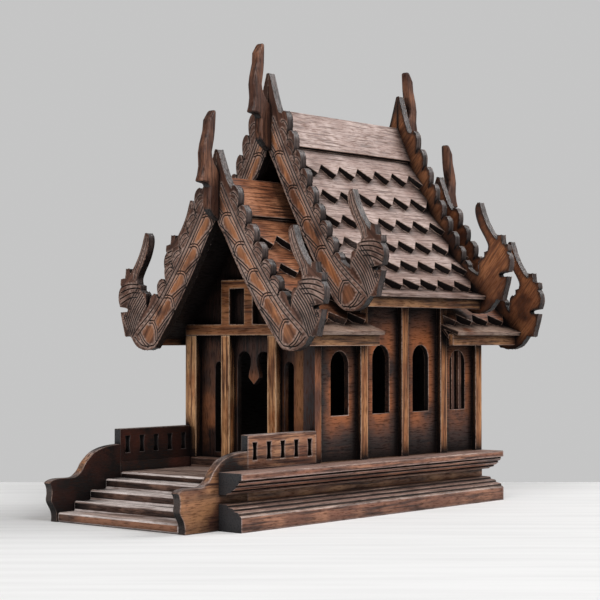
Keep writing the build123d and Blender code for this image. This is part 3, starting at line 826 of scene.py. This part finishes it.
def board_lines(roof, leaves):
    """Every carved line of a right-hand board: its points, half width and depth."""
    lines = []

    def groove(points, half=groove_half, depth=groove_depth):
        lines.append((points, half, depth))

    def fine_groove(points):
        groove(points, fine_half, fine_depth)

    def naga_line(shares):
        return [naga_point(roof, *pair) for pair in shares]

    upper = [roof_point(roof, share, border_upper_drop) for share in border_shares]
    groove(curve_through(upper + naga_line(upper_border_end_shares)))
    lower = [roof_point(roof, share, border_lower_drop) for share in border_shares]
    groove(curve_through(lower + naga_line(lower_border_end_shares)))
    foot = [roof_point(roof, share, border_foot_drop) for share in border_shares[:-1]]
    groove(curve_through(foot + naga_line(foot_border_end_shares)))

    arcs = [node_arc(roof, share) for share in node_shares] + [naga_line(lens_arc_shares)]
    for arc in arcs[1:]:
        line = curve_through(arc)
        groove(line)
        groove(beside(line, -line_gap))
    for arc, further in zip(arcs, arcs[1:]):
        crown = further[len(further) // 2]
        leg = curve_through([arc[-1] + Vector(leg_start), between(arc[-1], crown, leg_bend_share), crown])
        groove(leg)
        groove(beside(leg, line_gap))
        rib_start = between(arc[1], arc[2], rib_start_share)
        fine_groove(curve_through([rib_start, between(arc[1], further[1], rib_bend_share), further[1]]))
    chord = curve_through(naga_line(lens_chord_shares))
    groove(chord)
    groove(beside(chord, line_gap))

    for leaf in leaves:
        roots = [roof_point(roof, point.x / roof["half_span"], border_upper_drop) for point in leaf]
        for inset in leaf_inset_shares:
            fine_groove(curve_through([between(point, root, inset) for point, root in zip(leaf, roots)]))
        groove([leaf[-1], leaf[-1] + Vector(hole_reach)], hole_half, hole_depth)

    for i in range(mane_count):
        share = i / (mane_count - 1)
        start = between(*naga_line(mane_top_shares), share)
        stop = between(*naga_line(mane_foot_shares), share)
        bend = between(start, stop, 0.5) + mane_bend_share * naga_h * Vector((1, 1))
        groove(curve_through([start, bend, stop]))
    for shares in collar_shares:
        groove(curve_through(naga_line(shares)))
    for shares in horn_line_shares:
        fine_groove(curve_through(naga_line(shares)))
    for centre in naga_line(curl_shares):
        fine_groove(curl(centre))
    return lines


# Outline of a board
def closed_pairs(loop):
    """Each point of a loop with the next."""
    return list(zip(loop, loop[1:] + loop[:1]))


def outer_loop(node, outward):
    """Outline of a board's outer face in X and Z, in millimetres, as if it were a right-hand board."""
    corners = np.array([corner.co for corner in node.data.vertices]) / mm
    face_y = (corners[:, 1] * outward).max() * outward
    keys = [(round(abs(x), key_digits), round(z, key_digits)) for x, y, z in corners]
    sides = []
    for triangle in node.data.polygons:
        if all(abs(corners[i][1] - face_y) < flat_gap for i in triangle.vertices):
            sides += closed_pairs([keys[i] for i in triangle.vertices])
    shared = set(sides)
    follow = {a: b for a, b in sides if (b, a) not in shared}
    start = max(follow, key=lambda key: (key[1], -key[0]))
    ordered = [start]
    while follow[ordered[-1]] != start:
        ordered.append(follow[ordered[-1]])
    loop = [Vector(key) for key in ordered]
    turned = sum(a.x * b.y - b.x * a.y for a, b in closed_pairs(loop))
    if turned > 0:
        loop = [loop[0]] + loop[:0:-1]
    return loop, face_y


def crest_leaves(roof, loop):
    """The crest leaves of an outline: runs of points from the peak's foot towards the naga."""
    starts = [crest_start + leaf_points * i for i in range(roof["leaves"])]
    return [loop[start:start + leaf_points] for start in starts]


def smoothed(loop):
    """The outline with its gentle bends rounded and its corners kept."""
    count = len(loop)
    gentle = []
    for i in range(count):
        before = loop[i] - loop[i - 1]
        after = loop[(i + 1) % count] - loop[i]
        gentle.append(before.angle(after) < radians(soft_corner))
    fine = []
    for i, (b, c) in enumerate(closed_pairs(loop)):
        reach = (c - b).length
        lead = (c - loop[i - 1]).normalized() * reach if gentle[i] else c - b
        trail = (loop[(i + 2) % count] - b).normalized() * reach if gentle[(i + 1) % count] else c - b
        steps = max(1, round(reach / outline_pitch))
        for k in range(steps):
            t = k / steps
            fine.append(
                (2 * t**3 - 3 * t**2 + 1) * b + (t**3 - 2 * t**2 + t) * lead
                + (3 * t**2 - 2 * t**3) * c + (t**3 - t**2) * trail
            )
    return fine


def inside(points, loop):
    """Which points lie inside an outline."""
    x, z = points[:, 0], points[:, 1]
    result = np.zeros(len(points), bool)
    for a, b in closed_pairs(loop):
        crosses = (a.y > z) != (b.y > z)
        if a.y != b.y:
            result ^= crosses & (x < (b.x - a.x) * (z - a.y) / (b.y - a.y) + a.x)
    return result


# Carved gable boards
def point_tree(points):
    """Points set out so that the nearest is found fast."""
    tree = KDTree(len(points))
    for i, point in enumerate(points):
        tree.insert((point.x, point.y, 0), i)
    tree.balance()
    return tree


def triangulated(outline, points, merge):
    """Triangles over an outline and points inside it, with the given points that each corner stands for."""
    border = list(range(len(outline)))
    flat, _, faces, origins, _, _ = delaunay_2d_cdt(outline + points, [], [border], 1, merge, True)
    middles = np.array([[sum(flat[i][k] for i in face) / len(face) for k in (0, 1)] for face in faces])
    held = [list(face) for face, within in zip(faces, inside(middles, outline)) if within]
    return flat, held, origins


def face_points(lines, outline):
    """Points of a carved face: along each groove and its two edges, and on a grid, clear of the rim."""
    candidates = []
    for points, half, depth in lines:
        candidates += points + beside(points, half) + beside(points, -half)
    xs = [point.x for point in outline]
    zs = [point.y for point in outline]
    for i, x in enumerate(np.arange(min(xs), max(xs), grid_pitch)):
        for z in np.arange(min(zs) + (i % 2) * grid_pitch / 2, max(zs), grid_pitch):
            candidates.append(Vector((x, z)))
    candidates = np.array(candidates)
    candidates = candidates[inside(candidates, outline)]
    rim = [between(a, b, k / rim_marks) for a, b in closed_pairs(outline) for k in range(rim_marks)]
    rim_tree = point_tree(rim)
    return [Vector(point) for point in candidates if rim_tree.find((*point, 0))[2] > rim_clearance]


def panel_share(roof, point):
    """How orange a point of a board is: full below each bamboo joint, fading down to the next."""
    share = point.x / roof["half_span"]
    if share < lens_start_share:
        middle = abs(roof_point(roof, share).y - point.y - panel_drop) / panel_half
    else:
        middle = (point - naga_point(roof, 0, 0) - Vector(lens_centre)).length / lens_radius
    joint = max((spot for spot in node_shares if spot <= share), default=0)
    fade = 1 - panel_fade_share * (share - joint) / joint_step_share
    return min(1, panel_gain_share * max(0, 1 - middle)) * fade


def grain_place(roof, point):
    """A point's place along and across the grain, which follows the roof line."""
    down = slope_ahead(roof, min(point.x / roof["half_span"], 1))
    return (carved_grain_share * point.dot(down) * mm, point.dot(square_to(down)) * mm, 0)


def carve_board(name, roof, outward):
    """A carved board in place of a plain one: lined outer face, plain inner face, square sides."""
    side = 1 if name.endswith("right") else -1
    loop, face_y = outer_loop(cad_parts[name], outward)
    low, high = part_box(name)
    back_y = low.y if outward > 0 else high.y
    lines = board_lines(roof, crest_leaves(roof, loop))
    outline = smoothed(loop)
    count = len(outline)

    # Outer face, with its grooves cut in
    marks = [(point, half, depth) for points, half, depth in lines for point in points]
    near = point_tree([point for point, half, depth in marks])
    flat, faces, origins = triangulated(outline, face_points(lines, outline), face_merge)
    rim_of = {}
    corners = []
    layers = {"groove": [], "panel": [], "rim": []}
    along = []
    for i, (point, origin) in enumerate(zip(flat, origins)):
        on_rim = [k for k in origin if k < count]
        rim_of.update((k, i) for k in on_rim)
        _, mark, distance = near.find((*point, 0))
        _, half, depth = marks[mark]
        cut = 0 if on_rim else max(0, 1 - distance / half)
        corners.append((side * point.x * mm, (face_y - outward * depth * cut) * mm, point.y * mm))
        layers["groove"].append(cut)
        layers["panel"].append(panel_share(roof, point))
        # Painted highlight: the pale ridge beside each groove
        layers["rim"].append(max(0, 1 - abs(distance - ridge_highlight_share * half) / half))
        along.append(grain_place(roof, point))

    # Inner face and the sides between
    turn = 1 if side * outward < 0 else -1
    first_back = len(corners)
    for i in range(count):
        point = flat[rim_of[i]]
        corners.append((side * point.x * mm, back_y, point.y * mm))
    _, back_faces, back_origins = triangulated(outline, [], back_merge)
    shell = [face[::turn] for face in faces]
    shell += [[first_back + back_origins[i][0] for i in face][::-turn] for face in back_faces]
    ring = closed_pairs(list(range(count)))
    shell += [[rim_of[i], rim_of[k], first_back + k, first_back + i][::-turn] for i, k in ring]

    # Mesh, with its marks and rims
    mesh = bpy.data.meshes.new(f"carved_{name}")
    mesh.from_pydata(corners, [], shell)
    mesh.update()
    for label, values in layers.items():
        mesh.attributes.new(label, "FLOAT", "POINT").data.foreach_set("value", values + [0.0] * count)
    along_values = np.array(along + [(0, 0, 0)] * count).ravel()
    mesh.attributes.new("along", "FLOAT_VECTOR", "POINT").data.foreach_set("vector", along_values)
    outer_rim = {frozenset((rim_of[i], rim_of[k])) for i, k in ring}
    inner_rim = {frozenset((first_back + i, first_back + k)) for i, k in ring}
    for label, rim_edges in (("outer_rim", outer_rim), ("inner_rim", inner_rim)):
        weights = [float(frozenset(edge.vertices) in rim_edges) for edge in mesh.edges]
        mesh.attributes.new(label, "FLOAT", "EDGE").data.foreach_set("value", weights)
    for material in (carved_wood, edge_wood, inner_wood, worn_edge_and_ledge_highlight):
        mesh.materials.append(material)
    slots = [0] * len(faces) + [2] * len(back_faces) + [1] * count
    mesh.polygons.foreach_set("material_index", slots)
    board = bpy.data.objects.new(f"carved_{name}", mesh)
    bpy.context.collection.objects.link(board)
    round_edges(board, edge_bevel, 3, "outer_rim")
    round_edges(board, edge_bevel, 1, "inner_rim")
    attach(board, "root")
    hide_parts(name)


for tier, roof in (("main", main_roof), ("low", low_roof)):
    for end, outward in (("front", -1), ("back", 1)):
        for side in ("left", "right"):
            carve_board(f"{tier}_{end}_gable_board_{side}", roof, outward)


# Table
def table_material():
    """White-washed boards with faint grey streaks."""
    material, tree, shader = new_material("table_paint")
    place = tree.nodes.new("ShaderNodeTexCoord")
    boards = stretched(tree, place.outputs["Object"], "X", table_grain_share)
    streak = noise(tree, boards, table_streak_scale, 6)
    body = mix_colour(tree, spread(tree, streak, 0.3, 0.6), (0.82, 0.82, 0.82), (0.89, 0.89, 0.89))
    tree.links.new(body, shader.inputs["Base Color"])
    shader.inputs["Roughness"].default_value = 0.9
    shader.inputs["Specular IOR Level"].default_value = 0.02
    return material


table_turn = radians(camera_azimuth)
table_ahead = (table_far + table_near) / 2
table_x = camera_place[0] - sin(table_turn) * table_ahead
table_y = camera_place[1] + cos(table_turn) * table_ahead
bpy.ops.mesh.primitive_cube_add(size=1)
table = bpy.context.object
table.name = "table"
table.scale = (2 * table_half_width, table_far - table_near, table_t)
table.location = (table_x, table_y, -table_t / 2)
table.rotation_euler = (0, 0, table_turn)
table.data.materials.append(table_material())

# Light: a soft glow all round, a grey wall behind for the camera alone, and the lamps
world = bpy.data.worlds.new("studio")
world.use_nodes = True
sky = world.node_tree
ambient = sky.nodes["Background"]
ambient.inputs["Color"].default_value = (1.0, 0.98, 0.96, 1)
ambient.inputs["Strength"].default_value = 0.20
backdrop = add_node(sky, "ShaderNodeBackground", Color=(0.56, 0.56, 0.56), Strength=1.0)
path = sky.nodes.new("ShaderNodeLightPath")
choose = sky.nodes.new("ShaderNodeMixShader")
sky.links.new(path.outputs["Is Camera Ray"], choose.inputs[0])
sky.links.new(ambient.outputs[0], choose.inputs[1])
sky.links.new(backdrop.outputs[0], choose.inputs[2])
sky.links.new(choose.outputs[0], sky.nodes["World Output"].inputs["Surface"])
bpy.context.scene.world = world


def area_light(name, place, size, power):
    """A soft square lamp aimed at the middle of the house."""
    lamp = bpy.data.lights.new(name, "AREA")
    lamp.size = size
    lamp.energy = power
    lamp_object = bpy.data.objects.new(name, lamp)
    lamp_object.location = place
    aim = Vector(lamp_aim) - Vector(place)
    lamp_object.rotation_euler = aim.to_track_quat("-Z", "Y").to_euler()
    bpy.context.collection.objects.link(lamp_object)


for lamp_values in lamps:
    area_light(*lamp_values)

# Camera
camera = bpy.data.cameras.new("camera")
camera.lens = camera_lens
camera.clip_start = camera_near
camera_object = bpy.data.objects.new("camera", camera)
camera_object.location = camera_place
camera_object.rotation_euler = (radians(90 + camera_pitch), 0, radians(camera_azimuth))
bpy.context.collection.objects.link(camera_object)
bpy.context.scene.camera = camera_object
bpy.context.scene.view_settings.view_transform = "Standard"
